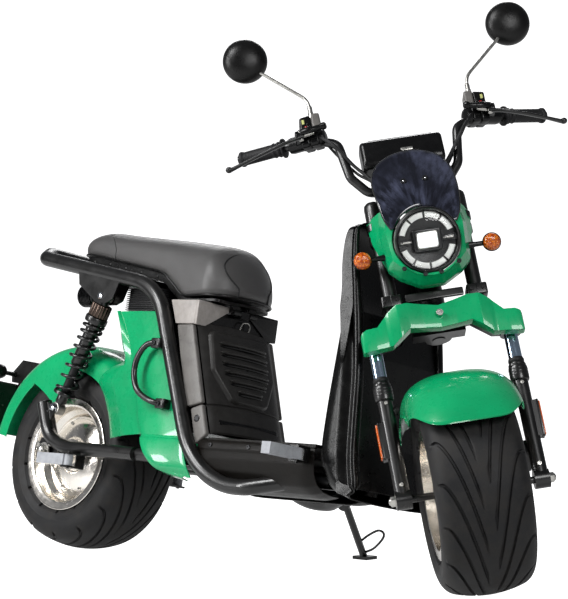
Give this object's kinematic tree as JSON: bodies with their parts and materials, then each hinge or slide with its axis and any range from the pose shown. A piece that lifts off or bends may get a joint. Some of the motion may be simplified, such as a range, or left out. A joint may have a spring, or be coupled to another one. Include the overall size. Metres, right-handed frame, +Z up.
{
  "type": "electric motor scooter",
  "caption": "Fat-tyred electric scooter with a stepped seat on a tube frame, leg shield, round headlight, raked twin fork and side stand.",
  "frame": {"origin": "on the floor, at the middle of the bounding box, parked on the side stand", "axes": "+X forward, +Y to the rider's left, +Z up"},
  "size_m": [1.8454, 0.78, 1.3553],
  "materials": {
    "amber": "clear amber",
    "battery_case": "matt",
    "black_plastic": "satin black",
    "chrome": "polished",
    "clear_glass": "clear",
    "green_paint": "gloss green",
    "grey_plastic": "satin grey",
    "grip_rubber": "matt",
    "painted_frame": "gloss black",
    "polished_aluminium": "polished",
    "seat_leather": "grained dark grey",
    "smoked_glass": "smoked",
    "tyre_rubber": "matt"
  },
  "bodies": {
    "chassis": {"battery": "battery_case", "battery_tub": "black_plastic", "belly_covers": "black_plastic", "column_front_panel": "black_plastic", "column_side_covers": "grey_plastic", "controller": "black_plastic", "floor_board": "black_plastic", "leg_shield": "black_plastic", "main_frame": "painted_frame", "peg_brackets": "painted_frame", "rear_fender": "green_paint", "rear_shocks": "painted_frame", "rear_signals": "amber", "shield_cover": "black_plastic", "side_handles": "painted_frame", "side_panels": "green_paint", "swingarm": "painted_frame", "tail_bracket": "painted_frame", "tail_lamp": "black_plastic"},
    "steering": {"brake_levers": "painted_frame", "crown_cover": "green_paint", "dash": "black_plastic", "fork_crown": "painted_frame", "fork_legs": "painted_frame", "fork_stanchions": "chrome", "front_fender": "green_paint", "front_signals": "amber", "grips": "grip_rubber", "handlebar": "chrome", "headlight": "black_plastic", "headlight_lens": "clear_glass", "headlight_shroud": "green_paint", "mirrors": "black_plastic", "switch_boxes": "black_plastic", "top_clamp": "painted_frame", "windscreen": "smoked_glass"},
    "front_wheel": {"front_rim": "polished_aluminium", "front_tyre": "tyre_rubber"},
    "rear_wheel": {"rear_tyre": "tyre_rubber", "rear_rim": "polished_aluminium"},
    "seat": {"seat_cushion": "seat_leather", "seat_base": "black_plastic"},
    "side_stand": {"side_stand": "painted_frame"},
    "front_peg_right": {"front_peg_right": "polished_aluminium"},
    "front_peg_left": {"front_peg_left": "polished_aluminium"},
    "rear_peg_right": {"rear_peg_right": "polished_aluminium"},
    "rear_peg_left": {"rear_peg_left": "polished_aluminium"}
  },
  "joints": [
    {"name": "steering", "type": "hinge", "parent": "chassis", "child": "steering", "pos_m": [0.46999, -0.02851, 0.67785], "axis": [-0.3884, 0.1758, 0.9046], "range_deg": [0, 94]},
    {"name": "front_wheel_spin", "type": "hinge", "parent": "steering", "child": "front_wheel", "pos_m": [0.70757, -0.15774, 0.23011], "axis": [0.6738, 0.7238, 0.1487], "continuous": true},
    {"name": "rear_wheel_spin", "type": "hinge", "parent": "chassis", "child": "rear_wheel", "pos_m": [-0.58182, -0.1157, 0.23018], "axis": [-0.0002, 0.9816, -0.1908], "continuous": true},
    {"name": "side_stand_fold", "type": "hinge", "parent": "chassis", "child": "side_stand", "pos_m": [0.14612, 0.04829, 0.15083], "axis": [-0.4034, 0.8859, 0.229], "range_deg": [0, 88.2]},
    {"name": "seat_lift", "type": "hinge", "parent": "chassis", "child": "seat", "pos_m": [-0.1055, -0.04319, 0.6028], "axis": [-0.0002, 0.9816, -0.1908], "range_deg": [0, 65]},
    {"name": "front_peg_right_fold", "type": "hinge", "parent": "chassis", "child": "front_peg_right", "pos_m": [0.30224, -0.28432, 0.29481], "axis": [-0.0008, -0.1908, -0.9816], "range_deg": [0, 90]},
    {"name": "front_peg_left_fold", "type": "hinge", "parent": "chassis", "child": "front_peg_left", "pos_m": [0.30218, 0.06514, 0.22688], "axis": [0.0008, 0.1908, 0.9816], "range_deg": [0, 90]},
    {"name": "rear_peg_right_fold", "type": "hinge", "parent": "chassis", "child": "rear_peg_right", "pos_m": [-0.4538, -0.30856, 0.24413], "axis": [0.0008, 0.1908, 0.9816], "range_deg": [0, 90]},
    {"name": "rear_peg_left_fold", "type": "hinge", "parent": "chassis", "child": "rear_peg_left", "pos_m": [-0.45387, 0.06839, 0.17086], "axis": [-0.0008, -0.1908, -0.9816], "range_deg": [0, 90]}
  ]
}
